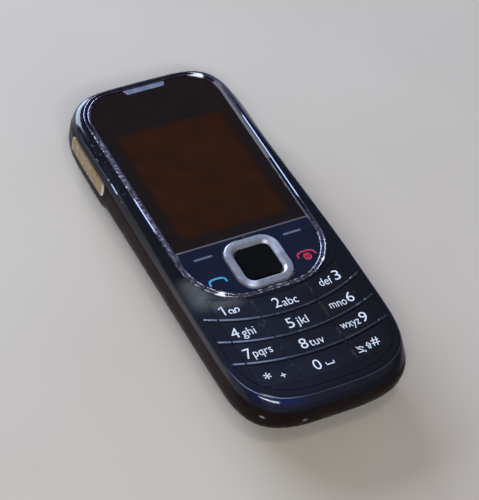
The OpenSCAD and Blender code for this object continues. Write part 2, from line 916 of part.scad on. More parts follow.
// Battery
module battery() {
    corner = 1.2;
    color([0.35, 0.36, 0.4])
        translate([0, battery_top_y - real_battery_l / 2, battery_z])
            linear_extrude(battery_t)
                round_rect(real_battery_w, real_battery_l, corner);
}

// Block of three spring contacts at the battery's upper end
module battery_contacts() {
    block_w = 9;
    block_h = 2.8;
    finger = 0.8;
    finger_pitch = 3;
    finger_l = 0.3;
    color([0.8, 0.65, 0.3]) {
        translate([-block_w / 2, battery_top_y + finger_l, chassis_z - seat - block_h])
            cube([block_w, contact_l, block_h]);
        for (i = [-1 : 1])
            translate([i * finger_pitch - finger / 2, battery_top_y + seat, chassis_z - seat - block_h / 2])
                cube([finger, finger_l, finger]);
    }
}

// Holder for the card below the battery
module sim_holder() {
    holder_w = 24;
    holder_l = 12;
    holder_h = 1.6;
    rim = 1;
    card_t = 0.9;
    skin = 0.4;
    color([0.78, 0.78, 0.8])
        translate([-holder_w / 2, battery_low_y - rim - holder_l, chassis_z - seat - holder_h])
            difference() {
                cube([holder_w, holder_l, holder_h]);
                translate([rim, rim, skin])
                    cube([holder_w, holder_l - 2 * rim, card_t]);
                translate([5 * rim, 3 * rim, -rim])
                    cube([holder_w - 10 * rim, holder_l - 6 * rim, 2 * rim]);
            }
}

// A socket on the top end: a block under the board, a barrel through the wall and a true bore
module socket(x, bore_r) {
    block_l = 7;
    color([0.12, 0.12, 0.13])
        translate([x, socket_end_y, socket_z])
            rotate([90, 0, 0])
                difference() {
                    union() {
                        cylinder(r = barrel_r, h = barrel_l + block_l / 2);
                        translate([-socket_w / 2, -socket_h / 2, barrel_l])
                            cube([socket_w, socket_h, block_l]);
                    }
                    translate([0, 0, -barrel_l])
                        cylinder(r = bore_r, h = socket_depth + barrel_l);
                }
}

module charger_socket() {
    socket(-real_socket_x, charger_r);
}

module headset_socket() {
    socket(real_socket_x, headset_r);
}

// The rear moulding's own part of the body: the hump above its slope
module hump_zone() {
    slope_steps = 6;
    rotate([90, 0, 90])
        translate([0, 0, -width])
            linear_extrude(2 * width)
                polygon(concat([[hump_y, depth]],
                    [for (i = [0 : slope_steps])
                        let (y = hump_y + hump_slope * i / slope_steps) [y, hump_back(y)]],
                    [[hump_y + hump_slope, -1], [length, -1], [length, depth]]));
}

// A plate let into the hump's side, as a band along the outline
module side_plate(side, grow) {
    plate_steps = 8;
    mid_z = insert_low + insert_h / 2;
    y_from = insert_y - wall;
    y_to = insert_y + real_insert_l + wall;
    out = insert_rise + (grow > 0 ? wall : 0);
    path = [for (i = [0 : plate_steps]) y_from + (y_to - y_from) * i / plate_steps];
    mirror([side < 0 ? 1 : 0, 0, 0])
        intersection() {
            translate([0, 0, insert_low - wall])
                linear_extrude(insert_h + 2 * wall)
                    polygon(concat(
                        [for (y = path) [hump_side(y, mid_z) + out, y]],
                        [for (i = [plate_steps : -1 : 0])
                            [hump_side(path[i], mid_z) - insert_t - grow, path[i]]]));
            translate([0, insert_y + real_insert_l / 2, mid_z])
                rotate([90, 0, 90])
                    linear_extrude(width)
                        round_rect(real_insert_l + 2 * grow, insert_h + 2 * grow, insert_r + grow);
        }
}

// The hump's side at a place along the phone
function hump_side(y, z) = let (
    bend = max(0, (y - top_reach(z, 0, 0) + real_top_bend) / real_top_bend))
    half_width(y, z, 0, 0) * pow(1 - pow(bend, corner_power(z)), 1 / corner_power(z));

module side_trims() {
    color([0.76, 0.7, 0.58])
        for (side = [-1, 1])
            side_plate(side, 0);
}

// Rear moulding: hump with its slots, end wall and the chassis plate over the battery
module rear_housing() {
    slots = 6;
    slot_pitch = 1.6;
    slot_w = 8;
    slot_h = 0.8;
    end_wall_in = 0.36;
    end_wall_y = hump_y + fit;
    end_wall_z = hump_rise + seat;
    fill_h = 0.7;
    fill_share = 0.7;
    fill_y = hump_y + fill_share * hump_slope;
    color([0.06, 0.055, 0.05]) difference() {
        union() {
            difference() {
                intersection() {
                    body_outside(0);
                    hump_zone();
                }
                block(-length, length, seam_z - seam_gap, length);
                body_inside(0, hump_floor, front_z);
            }
            intersection() {
                loft([for (z = [wall / 2, wall, 1.5 * wall, 2.1 * wall, rear_round_h / 2, chassis_top])
                    ring(z, 0, end_wall_in)]);
                union() {
                    block(end_wall_y, hump_y + wall, end_wall_z, chassis_top);
                    block(end_wall_y, fill_y, end_wall_z, hump_floor + fill_h);
                }
            }
            intersection() {
                loft([for (z = [chassis_z, chassis_top]) ring(z, hump_rise, wall + chassis_gap)]);
                block(low_y, hump_y + wall, chassis_z, chassis_top);
            }
        }
        for (i = [0 : slots - 1])
            translate([0, speaker_y + (i - (slots - 1) / 2) * slot_pitch, -wall / 2])
                round_bar(slot_w, slot_h, 2 * wall);
        for (x = [-1, 1])
            translate([x * tab_x, hump_y + wall / 2, tab_z + tab_t / 2])
                rotate([90, 0, 0])
                    translate([0, 0, -wall])
                        round_bar(tab_w + 4 * fit, tab_t + 4 * fit, 2 * wall);
        for (x = [-real_socket_x, real_socket_x])
            translate([x, top_y, socket_z])
                rotate([90, 0, 0])
                    translate([0, 0, -wall])
                        cylinder(r = barrel_r + fit, h = 3 * wall, $fn = 32);
        at_screws()
            translate([0, 0, chassis_z - wall])
                cylinder(r = shank_r + fit, h = chassis_top - chassis_z + 2 * wall, $fn = 24);
        for (side = [-1, 1])
            side_plate(side, fit, $fn = 32);
    }
}

// Lower rear cover with the tabs and lugs that hold it
module battery_cover() {
    tab_l = 1.6;
    tab_root = 2;
    lug_z = chassis_top + nav_gap;
    lug_h = 0.8;
    lug_tip = 0.4;
    lug_first = 5;
    lug_pitch = 13;
    color([0.07, 0.06, 0.055]) {
        difference() {
            body_outside(hump_rise);
            block(-length, length, seam_z - seam_gap, length);
            block(hump_y - cover_gap, length, -1, depth);
            body_inside(hump_rise, hump_rise + wall, front_z);
        }
        for (x = [-1, 1])
            translate([x * tab_x - tab_w / 2, hump_y - cover_gap, tab_z])
                hull() {
                    translate([0, -1.3 * tab_root, -3 * fit])
                        cube([tab_w, tab_root, tab_t]);
                    translate([0.2 * tab_w, 0, 0])
                        cube([0.6 * tab_w, tab_l, tab_t]);
                }
        for (side = [-1, 1], i = [0 : 3])
            mirror([side < 0 ? 1 : 0, 0, 0])
                translate([width / 2 - wall, hump_y - lug_first - along * lug_pitch * i - lug_w / 2, lug_z])
                    hull() {
                        translate([-lug_tip / 4, 0, 0])
                            cube([lug_tip, lug_w, 2 * lug_h]);
                        translate([-lug_reach, 0, 0])
                            cube([lug_tip, lug_w, lug_h / 2]);
                    }
    }
}

// Four screws through the chassis plate into the front cover's bosses
module housing_screws() {
    color([0.6, 0.6, 0.62])
        at_screws()
            translate([0, 0, chassis_z - seat - head_h]) {
                cylinder(r = head_r, h = head_h);
                cylinder(r = shank_r, h = face_under_z - chassis_z);
            }
}

front_cover();
window_trim();
display_window();
earpiece_grille();
earpiece_receiver();
lcd_panel();
lcd_light_guide();
left_function_key();
right_function_key();
navi_ring();
navi_carrier();
select_key();
key_1();
key_2();
key_3();
key_4();
key_5();
key_6();
key_7();
key_8();
key_9();
key_star();
key_0();
key_hash();
key_mat();
dome_sheet();
circuit_board();
shield_cans();
microphone();
vibration_motor();
loudspeaker();
antenna();
battery();
battery_contacts();
sim_holder();
charger_socket();
headset_socket();
rear_housing();
side_trims();
battery_cover();
housing_screws();
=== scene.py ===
"""Looks of the feature phone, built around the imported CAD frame.

Blender's lengths are metres. Sizes and places here are millimetres, which mm() turns into metres. X goes
across the phone, Y along it towards the top end, and Z from the back to the face.
"""

import json
import math

import bmesh
import bpy
from mathutils import Matrix, Vector


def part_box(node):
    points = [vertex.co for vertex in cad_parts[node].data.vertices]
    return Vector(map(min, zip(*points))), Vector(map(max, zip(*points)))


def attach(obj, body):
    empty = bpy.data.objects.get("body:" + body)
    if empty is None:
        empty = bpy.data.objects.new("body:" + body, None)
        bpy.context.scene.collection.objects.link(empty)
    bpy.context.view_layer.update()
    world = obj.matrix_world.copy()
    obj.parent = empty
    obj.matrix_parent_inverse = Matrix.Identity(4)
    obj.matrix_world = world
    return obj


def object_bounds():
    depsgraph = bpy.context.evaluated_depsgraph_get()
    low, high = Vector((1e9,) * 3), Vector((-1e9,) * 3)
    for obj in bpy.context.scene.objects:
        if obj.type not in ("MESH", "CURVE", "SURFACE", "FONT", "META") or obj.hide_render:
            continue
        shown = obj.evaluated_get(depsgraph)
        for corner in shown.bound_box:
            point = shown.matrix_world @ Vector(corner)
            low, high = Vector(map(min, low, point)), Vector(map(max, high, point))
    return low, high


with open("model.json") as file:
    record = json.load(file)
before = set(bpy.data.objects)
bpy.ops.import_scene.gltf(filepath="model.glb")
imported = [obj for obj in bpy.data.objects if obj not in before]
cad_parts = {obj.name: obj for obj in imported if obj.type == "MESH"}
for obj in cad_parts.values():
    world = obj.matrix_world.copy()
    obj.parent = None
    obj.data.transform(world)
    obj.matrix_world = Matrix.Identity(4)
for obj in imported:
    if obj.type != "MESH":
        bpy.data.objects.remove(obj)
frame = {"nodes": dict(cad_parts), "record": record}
cad_low, cad_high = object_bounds()


def mm(value):
    """Millimetres as metres."""
    return value * 0.001


def to_mm(value):
    """Metres as millimetres."""
    return value * 1000


# Levels of the front

# Tops of the number keys under their ridges and of the function plates, top of the trim,
# and level of the film's edge, where a highlight is painted
FACE_TOP = to_mm(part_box("key_0")[1].z)
PLATE_TOP = to_mm(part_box("left_function_key")[1].z)
TRIM_TOP = FACE_TOP + 0.15
FILM_LEVEL = FACE_TOP - 0.25


# Camera and light

AIM = (-2.741, -6.235, 13.3)
DISTANCE = 585.83
AZIMUTH = -39.956
ELEVATION = 47.801
ROLL = 15.156
LENS = 176.36

# Nearest and farthest place that the camera sees, in metres
CLIP = (0.01, 20)

# Name, azimuth, elevation, distance in metres, width and height in metres, power, colour
LAMPS = [
    ("far_window", 124, 14, 1.0, (0.62, 0.46), 1.5, (0.35, 0.42, 1.0)),
    ("corner_window", -168, 17, 1.0, (0.93, 0.60), 28, (0.62, 0.76, 1.0)),
    ("overhead", 0, 84, 0.9, (0.16, 0.16), 1.0, (1.0, 0.92, 0.82)),
    ("beside_camera", -32, 43, 1.0, (0.55, 0.10), 5.0, (0.94, 0.97, 1.0)),
    ("chin_fill", 12, 50, 1.0, (2.2, 1.0), 1.7, (0.60, 0.77, 1.0)),
    ("near_left", -95, 40, 1.0, (0.6, 0.5), 0.6, (1.0, 0.96, 0.92)),
    ("side_strip", -127, 5, 1.0, (0.25, 0.06), 0.15, (0.80, 0.90, 1.0)),
]
SKY_COLOUR = (0.80, 0.86, 1.0, 1)
SKY_STRENGTH = 0.13


def look_back(azimuth, elevation):
    """The direction from the object to a viewer or a lamp, with azimuth 0 on the side of -Y."""
    a, e = math.radians(azimuth), math.radians(elevation)
    return Vector((math.sin(a) * math.cos(e), -math.cos(a) * math.cos(e), math.sin(e)))


def add_camera():
    """The camera that sees the phone as the photograph does."""
    data = bpy.data.cameras.new("photo_camera")
    data.lens = LENS
    data.clip_start, data.clip_end = CLIP
    camera = bpy.data.objects.new("photo_camera", data)
    back = look_back(AZIMUTH, ELEVATION)
    camera.rotation_mode = "QUATERNION"
    roll = Matrix.Rotation(math.radians(ROLL), 3, "Z")
    turn = (-back).to_track_quat("-Z", "Y").to_matrix() @ roll
    camera.rotation_quaternion = turn.to_quaternion()
    camera.location = Vector(map(mm, AIM)) + back * mm(DISTANCE)
    bpy.context.scene.collection.objects.link(camera)
    bpy.context.scene.camera = camera


def add_lamp(name, azimuth, elevation, distance, size, power, colour):
    """A soft lamp that shines on the origin."""
    data = bpy.data.lights.new(name, "AREA")
    data.shape = "RECTANGLE"
    data.size, data.size_y = size
    data.energy = power
    data.color = colour
    lamp = bpy.data.objects.new(name, data)
    back = look_back(azimuth, elevation)
    lamp.rotation_mode = "QUATERNION"
    lamp.rotation_quaternion = (-back).to_track_quat("-Z", "Y")
    lamp.location = back * distance
    bpy.context.scene.collection.objects.link(lamp)


def add_world():
    """A dim, even sky."""
    world = bpy.data.worlds.new("studio")
    world.use_nodes = True
    sky = world.node_tree.nodes["Background"]
    sky.inputs["Color"].default_value = SKY_COLOUR
    sky.inputs["Strength"].default_value = SKY_STRENGTH
    bpy.context.scene.world = world


# Materials

class Look:
    """One material: its shader, and small helpers that add nodes and link them."""

    def __init__(self, name, metallic=0.0, specular=0.5):
        self.material = bpy.data.materials.new(name)
        self.material.use_nodes = True
        self.tree = self.material.node_tree
        self.shader = self.tree.nodes["Principled BSDF"]
        self.shader.inputs["Metallic"].default_value = metallic
        self.shader.inputs["Specular IOR Level"].default_value = specular
        self.place = self.add("ShaderNodeTexCoord").outputs["Object"]
        self.base = None

    def add(self, kind, **settings):
        node = self.tree.nodes.new(kind)
        for key, value in settings.items():
            setattr(node, key, value)
        return node

    def feed(self, socket, value):
        """Links an output to a socket, or sets the socket's own value."""
        if isinstance(value, bpy.types.NodeSocket):
            self.tree.links.new(value, socket)
        else:
            socket.default_value = value

    def maths(self, operation, a, b=0.0, clamp=False):
        node = self.add("ShaderNodeMath", operation=operation, use_clamp=clamp)
        self.feed(node.inputs[0], a)
        self.feed(node.inputs[1], b)
        return node.outputs[0]

    def times(self, first, *others):
        """The product of masks."""
        for other in others:
            first = self.maths("MULTIPLY", first, other)
        return first

    def most(self, first, *others):
        """The strongest of masks."""
        for other in others:
            first = self.maths("MAXIMUM", first, other)
        return first

    def axis(self, letter):
        node = self.add("ShaderNodeSeparateXYZ")
        self.feed(node.inputs[0], self.place)
        return node.outputs[letter]

    def off(self, value, middle):
        """How far a value is from a middle, either way."""
        return self.maths("ABSOLUTE", self.maths("SUBTRACT", value, middle))

    def span(self, value, low, high, out_low=0.0, out_high=1.0):
        """A smooth step from low to high."""
        node = self.add("ShaderNodeMapRange", interpolation_type="SMOOTHSTEP")
        for socket, v in zip(("Value", "From Min", "From Max", "To Min", "To Max"),
                             (value, low, high, out_low, out_high)):
            self.feed(node.inputs[socket], v)
        return node.outputs["Result"]

    def step(self, letter, start, end, out_low=0.0, out_high=1.0):
        """A smooth step along an axis, between two places in millimetres."""
        return self.span(self.axis(letter), mm(start), mm(end), out_low, out_high)

    def between(self, letter, rise, fall):
        """1 between a step up and a step down along an axis, each given by its two places."""
        return self.times(self.step(letter, *rise), self.step(letter, *fall))

    def close(self, letter, middle, reach, core):
        """1 within core millimetres of a place on an axis, and 0 beyond reach."""
        return self.span(self.off(self.axis(letter), mm(middle)), mm(reach), mm(core))

    def box_mask(self, centre, half, soft):
        """1 inside a rectangle on the front, in millimetres, and 0 outside."""
        sides = [self.close(letter, middle, reach + soft, reach - soft)
                 for letter, middle, reach in zip("XY", centre, half)]
        return self.times(*sides)

    def stretched(self, stretch):
        node = self.add("ShaderNodeMapping")
        node.inputs["Scale"].default_value = stretch
        self.feed(node.inputs["Vector"], self.place)
        return node.outputs["Vector"]

    def noise(self, size, detail=4.0, rough=0.55, stretch=None):
        """Noise whose main features measure size millimetres."""
        node = self.add("ShaderNodeTexNoise")
        node.inputs["Scale"].default_value = 1 / mm(size)
        node.inputs["Detail"].default_value = detail
        node.inputs["Roughness"].default_value = rough
        self.feed(node.inputs["Vector"], self.stretched(stretch) if stretch else self.place)
        return node.outputs["Fac"]

    def spots(self, size, low, high, out_low=0.0, out_high=1.0, detail=3, rough=0.7):
        """A mask of ragged spots of about size millimetres, where noise rises from low to high."""
        return self.span(self.noise(size, detail, rough), low, high, out_low, out_high)

    def cells(self, size):
        """Distance to the nearest of many scattered points that lie size millimetres apart."""
        node = self.add("ShaderNodeTexVoronoi")
        node.inputs["Scale"].default_value = 1 / mm(size)
        self.feed(node.inputs["Vector"], self.place)
        return node.outputs["Distance"]

    def specks(self, size, patch, amount):
        """A mask of small scattered marks that gather in patches."""
        dots = self.span(self.cells(size), 0.22, 0.14)
        where = self.span(self.noise(patch, detail=3), 0.62 - amount, 0.70 - amount)
        return self.times(dots, where)

    def scratches(self, size, along, amount):
        """Thin hairlines in one direction."""
        lines = self.span(self.noise(size, 2, 0.4, along), 0.70 - amount, 0.76 - amount)
        where = self.span(self.noise(9, detail=2), 0.42, 0.62)
        return self.times(lines, where)

    def ramp(self, value, *stops):
        """Colours along a value, from stops of a place and a colour each."""
        node = self.add("ShaderNodeValToRGB")
        points = node.color_ramp.elements
        while len(points) < len(stops):
            points.new(0.5)
        for point, (at, colour) in zip(points, stops):
            point.position = at
            point.color = (*colour, 1)
        self.feed(node.inputs["Fac"], value)
        return node.outputs["Color"]

    def blend(self, factor, a, b, kind="MIX"):
        """From colour a to colour b, or b laid over a in another way."""
        node = self.add("ShaderNodeMix", data_type="RGBA", blend_type=kind)
        self.feed(node.inputs[0], factor)
        for socket, value in ((node.inputs[6], a), (node.inputs[7], b)):
            if not isinstance(value, bpy.types.NodeSocket):
                value = (*value, 1)
            self.feed(socket, value)
        return node.outputs[2]

    def bump(self, height, depth, strength):
        """A surface relief of depth millimetres."""
        node = self.add("ShaderNodeBump")
        node.inputs["Strength"].default_value = strength
        node.inputs["Distance"].default_value = mm(depth)
        self.feed(node.inputs["Height"], height)
        self.feed(self.shader.inputs["Normal"], node.outputs["Normal"])

    def colour(self, value):
        """Sets the base colour, and keeps it for marks that are laid over it later."""
        self.base = value
        self.feed(self.shader.inputs["Base Color"], value)

    def rough(self, value):
        self.feed(self.shader.inputs["Roughness"], value)


def gloss(name, dark, light, mark, rough_low, rough_high, amount=0.0, specular=0.5):
    """Gloss moulded plastic: faint mottling, smudged gloss, hairlines and dust."""
    look = Look(name, specular=specular)
    base = look.ramp(look.noise(7, detail=5), (0.3, dark), (0.7, light))
    dust = look.specks(0.55, patch=6, amount=amount)
    hair = look.scratches(0.12, along=(1, 0.05, 1), amount=-0.02)
    marks = look.most(dust, look.times(hair, 0.35))
    look.colour(look.blend(marks, base, mark))
    smear = look.span(look.noise(4, detail=4, rough=0.6), 0.35, 0.7, rough_low, rough_high)
    look.rough(look.maths("ADD", smear, look.times(marks, 0.25), clamp=True))
    waves = look.times(look.noise(2.2, detail=2), 0.6)
    look.bump(look.maths("ADD", look.noise(0.22, detail=3), waves), depth=0.004, strength=0.35)
    return look


def plated(name, dark, light, worn, metallic, rough_low, rough_high, amount, size=0.5, along=(1, 1, 1),
           relief=0.012):
    """Bright plating with fine grain, and worn spots where the base shows."""
    look = Look(name, metallic=metallic)
    base = look.ramp(look.noise(0.8, 5, 0.6, along), (0.3, dark), (0.7, light))
    spots = look.spots(size, 0.60 - amount, 0.66 - amount)
    look.colour(look.blend(spots, base, worn))
    look.rough(look.span(look.noise(1.6), 0.3, 0.7, rough_low, rough_high))
    grain = look.times(look.noise(0.3, 4, 0.6, along), 0.4)
    look.bump(look.maths("SUBTRACT", grain, spots), depth=relief, strength=0.5)
    return look


def dull(name, dark, light, rough, grain=0.3):
    """A matt inner piece with a fine moulded or printed texture."""
    look = Look(name)
    look.colour(look.ramp(look.noise(3, detail=5), (0.3, dark), (0.7, light)))
    look.rough(look.span(look.noise(1.5, detail=3), 0.3, 0.7, rough - 0.1, rough + 0.1))
    look.bump(look.noise(grain), depth=0.015, strength=0.5)
    return look


def ink(name, dark, light):
    """Printed ink: slightly uneven cover."""
    look = Look(name)
    look.colour(look.ramp(look.noise(0.25, rough=0.6), (0.3, dark), (0.6, light)))
    look.rough(look.span(look.noise(0.5, detail=3), 0.3, 0.7, 0.3, 0.5))
    look.bump(look.noise(0.1, detail=3), depth=0.004, strength=0.4)
    return look.material


# Front moulding and keypad

# Smooth steps along an axis, each from its start to its end, or pairs of a step up and a step down
SHOULDER_X = (-20.5, -20.9)
SHOULDER_Z = (11.9, 12.1)
SPECKLED_Y = ((17, 19), (42, 38))
# Stretch along the phone of the painted glint on the left shoulder
SHOULDER_GLINT_Y = ((20.2, 20.8), (24.2, 23.6))
FILM_Y = (-13, -21)
FADE_X = (-14, 16)
# Steps of the painted highlight along the film's edge
EDGE_X = (-7, -17)
EDGE_Y = (-34, -45)
# Steps of the painted blue reflection on the chin, down the phone and in height
CHIN_GLOW_Y = (-43, -47)
CHIN_GLOW_Z = ((11.5, 12.8), (13.0, 12.8))
# Step across the phone of the painted highlight on the ridges
RIDGE_HIGHLIGHT_X = (-3, -16)
RIDGE_Z = (FACE_TOP + 0.08, FACE_TOP + 0.20)

# Height of the painted glint on the left shoulder
SHOULDER_GLINT_LEVEL = 12.3
# Middle across the phone of the painted blue reflection on the chin
CHIN_GLOW_MIDDLE = -15.5

# Where the dust beside the columns starts and where it is full, from the middle of the gap
DUST_REACH = 0.30
DUST_CORE = 0.18

# Centre, half size and softness of the two parts of the painted sheen, a hazy grey reflection
SHEEN_BESIDE = ((-18.6, -15.0), (2.7, 4.0), 2.8)
SHEEN_UNDER = ((-13.6, -19.4), (4.2, 1.3), 1.8)
SHEEN_UNDER_SHARE = 0.7

# Grey of the painted sheen, a hazy reflection on the moulding and the keys
SHEEN_GREY = (0.118, 0.122, 0.120)
# Colour of the small bare spots, and of the painted glint on the left shoulder
BARE_SPOT_AND_GLINT = (0.50, 0.55, 0.68)
# Light of the ridge tops: a painted highlight, and the colour of the rubbed spots
RIDGE_HIGHLIGHT_AND_WEAR = (0.21, 0.245, 0.37)
# Painted highlight along the edge of the keypad's film
FILM_EDGE_HIGHLIGHT = (0.22, 0.26, 0.46)
FILM_LEFT = (0.0110, 0.0117, 0.0214)
FILM_RIGHT = (0.0068, 0.0067, 0.0100)
KEY_TINT_LEFT = (1.55, 1.36, 1.15)
KEY_TINT_RIGHT = (1.02, 0.79, 0.58)
KEY_DUST = (0.048, 0.048, 0.054)
# Blue of the painted reflection on the chin's bend
CHIN_GLOW_BLUE = (0.0062, 0.0125, 0.080)


def painted_sheen(look):
    """A mask of the painted sheen: a hazy grey reflection at the upper left of the keys, beside and under
    the trim's corner.
    """
    beside = look.box_mask(*SHEEN_BESIDE)
    under = look.times(look.box_mask(*SHEEN_UNDER), SHEEN_UNDER_SHARE)
    cloud = look.spots(5, 0.30, 0.62, 0.6, 0.85, rough=0.55)
    return look.times(look.most(beside, under), cloud)


def faded(look):
    """A mask that grows across the keypad, whose film is bluer and paler at the left than at the right."""
    return look.step("X", *FADE_X)


def film_edge_highlight(look):
    """A mask of the painted highlight along the thin edge of the keypad's film, strongest round the lower
    left corner.
    """
    line = look.close("Z", FILM_LEVEL, reach=0.055, core=0.02)
    lower = look.step("Y", *EDGE_Y)
    left = look.step("X", *EDGE_X, out_low=0.16)
    return look.times(line, lower, left)


def painted_chin_glow(look):
    """A mask of a painted blue reflection on the chin's bend, which fades down and to both sides."""
    bend = look.between("Z", *CHIN_GLOW_Z)
    corner = look.close("X", CHIN_GLOW_MIDDLE, reach=9, core=1.5)
    return look.times(bend, corner, look.step("Y", *CHIN_GLOW_Y))


def ridge_highlight_and_wear(look):
    """A mask of the ridge tops: a painted highlight, strong towards the left and faint to the right, with
    rubbed spots all along.
    """
    ridge = look.step("Z", *RIDGE_Z)
    left = look.step("X", *RIDGE_HIGHLIGHT_X, 0.10, 0.85)
    spots = look.spots(1.1, 0.50, 0.64, out_high=0.32, detail=4)
    return look.times(ridge, look.most(left, spots))


def front_look():
    """Front moulding: small bare spots and one painted glint on the left shoulder, a painted grey sheen
    beside the keys, the film over the keypad, a painted highlight along the film's edge, a painted blue
    reflection on the chin, and a painted highlight with rubbed spots along the ridges."""
    look = gloss("front_black", dark=(0.0046, 0.0047, 0.0080), light=(0.0066, 0.0068, 0.0115),
                 mark=(0.12, 0.13, 0.16), rough_low=0.05, rough_high=0.16, amount=-0.03, specular=0.32)
    shoulder = look.times(look.step("X", *SHOULDER_X), look.step("Z", *SHOULDER_Z))
    spots = look.spots(0.7, 0.66, 0.70)
    speckled = look.times(shoulder, look.between("Y", *SPECKLED_Y), spots)
    # Painted glint: a short bright streak on the left shoulder, in the bare spots' colour
    level = look.close("Z", SHOULDER_GLINT_LEVEL, reach=0.16, core=0.08)
    shoulder_glint = look.times(shoulder, level, look.between("Y", *SHOULDER_GLINT_Y))
    film = look.step("Y", *FILM_Y, out_high=0.85)
    tone = look.blend(film, look.base, look.blend(faded(look), FILM_LEFT, FILM_RIGHT))
    # Painted reflection: a hazy grey sheen beside and under the trim's corner
    tone = look.blend(painted_sheen(look), tone, SHEEN_GREY)
    tone = look.blend(look.most(speckled, shoulder_glint), tone, BARE_SPOT_AND_GLINT)
    # Painted reflection: a blue glow on the chin's bend
    tone = look.blend(painted_chin_glow(look), tone, CHIN_GLOW_BLUE)
    # Painted highlight: a thin light line along the film's edge
    tone = look.blend(film_edge_highlight(look), tone, FILM_EDGE_HIGHLIGHT)
    # Painted highlight along the ridges, with rubbed spots
    look.colour(look.blend(ridge_highlight_and_wear(look), tone, RIDGE_HIGHLIGHT_AND_WEAR))
    return look.material


def key_look():
    """Keypad film, with a painted highlight and rubbed spots along the ridges, a painted grey sheen at the
    upper left, and dust on the edges between the columns.
    """
    look = gloss("key_black", dark=(0.0052, 0.0070, 0.0155), light=(0.0085, 0.0106, 0.0220),
                 mark=(0.16, 0.18, 0.22), rough_low=0.10, rough_high=0.22, amount=-0.02, specular=0.45)
    gap = (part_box("key_1")[1].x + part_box("key_2")[0].x) / 2
    away = look.off(look.maths("ABSOLUTE", look.axis("X")), abs(gap))
    broken = look.spots(1.6, 0.44, 0.58, detail=4)
    edge = look.times(look.span(away, mm(DUST_REACH), mm(DUST_CORE)), broken)
    tint = look.blend(faded(look), KEY_TINT_LEFT, KEY_TINT_RIGHT)
    tone = look.blend(1.0, look.base, tint, "MULTIPLY")
    # Painted reflection: a hazy grey sheen beside and under the trim's corner
    tone = look.blend(painted_sheen(look), tone, SHEEN_GREY)
    tone = look.blend(edge, tone, KEY_DUST)
    # Painted highlight along the ridges, with rubbed spots
    look.colour(look.blend(ridge_highlight_and_wear(look), tone, RIDGE_HIGHLIGHT_AND_WEAR))
    return look.material


def function_look():
    """Plates beside the navigation ring: dark blue gloss."""
    look = gloss("function_blue", dark=(0.0040, 0.0060, 0.0185), light=(0.0062, 0.0088, 0.0250),
                 mark=(0.12, 0.13, 0.18), rough_low=0.08, rough_high=0.2, amount=-0.04)
    return look.material


def select_look():
    """Key inside the ring: plain black gloss."""
    look = gloss("select_black", dark=(0.0012, 0.0012, 0.0015), light=(0.0022, 0.0022, 0.0027),
                 mark=(0.05, 0.05, 0.06), rough_low=0.10, rough_high=0.2, amount=-0.04, specular=0.35)
    return look.material


# Rear mouldings

# Places of the painted glints on the walls
WALL_GLINTS = [(-19.45, -49.45, 8.8), (-9.8, -53.2, 7.75), (-22.6, 42.8, 6.1)]
WALL_GLINT_HALF = (0.45, 0.45)
WALL_GLINT_SOFT = 0.4
WALL_GLINT_GREY = (0.50, 0.52, 0.62)

# Heights over which the back's neutral tint turns into the walls' painted red-brown reflection of a wooden
# floor
WALL_REFLECTION_Z = (1.8, 3.6)
BACK_TINT = (0.60, 1.0, 1.04)
WALL_FLOOR_REFLECTION = (1.0, 1.0, 1.0)


def rear_look():
    """Rear mouldings: satin black, with a painted red-brown reflection of a wooden floor on the walls, which
    the back lacks, and three painted glints.
    """
    # The red-brown in these tones is a painted reflection of a wooden floor
    look = gloss("rear_black", dark=(0.0108, 0.0060, 0.0060), light=(0.0155, 0.0090, 0.0090),
                 mark=(0.10, 0.09, 0.085), rough_low=0.22, rough_high=0.38, amount=-0.02, specular=0.03)
    wall_glints = 0.0
    # Painted glints: bright soft spots at three places on the walls
    for x, y, z in WALL_GLINTS:
        spot = look.box_mask((x, y), WALL_GLINT_HALF, WALL_GLINT_SOFT)
        level = look.close("Z", z, reach=0.55, core=0.05)
        wall_glints = look.most(wall_glints, look.times(spot, level, look.noise(0.6, detail=3)))
    # Painted reflection: the walls keep the red-brown, the back turns neutral
    tint = look.blend(look.step("Z", *WALL_REFLECTION_Z), BACK_TINT, WALL_FLOOR_REFLECTION)
    tone = look.blend(1.0, look.base, tint, "MULTIPLY")
    look.colour(look.blend(wall_glints, tone, WALL_GLINT_GREY))
    return look.material


# Window, trim, ring and inserts

# Centre, half size and softness of the picture area
PICTURE = ((0.0, 18.75), (14.65, 17.65), 1.1)
BROWN_DARK = (0.0180, 0.0034, 0.0002)
BROWN_LIGHT = (0.0265, 0.0060, 0.0006)

# Smooth steps on the trim: into its groove, out to its outer line, and towards the keys' end, where the
# lines carry a painted gleam
GROOVE_Z = (TRIM_TOP - 0.05, TRIM_TOP - 0.13)
OUTER_LINE = (19.2, 19.35)
LOWER_GLEAM_Y = (-6, -10)
FILLED_Y = (2, -5)

# Side, start and end of stretches of the outer line
LEFT = -1
RIGHT = 1
TRIM_BROKEN = (LEFT, 18, 41)
# Stretches of the outer line that carry a painted bluish reflection of a window
TRIM_REFLECTED = [(LEFT, 5.5, 17), (RIGHT, 4, 33)]

# Centre, half size and softness of places on the trim
TRIM_BAR = ((0, -2.2), (18.2, 0.6), 0.2)
TRIM_FILL = ((-19, 17), (4, 22), 4)
TRIM_DULL = ((18.5, 32), (0.75, 14), 0.35)
TRIM_NARROW = ((18.35, 9), (0.40, 12), 0.30)
TRIM_GLINTS = [
    ((-14.0, -17.2), (1.3, 0.9), 0.35),
    ((15.6, -16.0), (0.7, 0.6), 0.35),
    ((14.3, 49.1), (2.2, 0.9), 0.35),
]
GROOVE_DARK = (0.055, 0.050, 0.068)
FILL_GREY = (0.20, 0.17, 0.235)
DULL_GREY = (0.16, 0.145, 0.150)
SPOT_DARK = (0.06, 0.055, 0.07)
SPOT_BRIGHT = (0.66, 0.68, 0.76)
# Bluish white of the painted window reflection
WINDOW_REFLECTION_BLUE = (0.60, 0.70, 1.0)
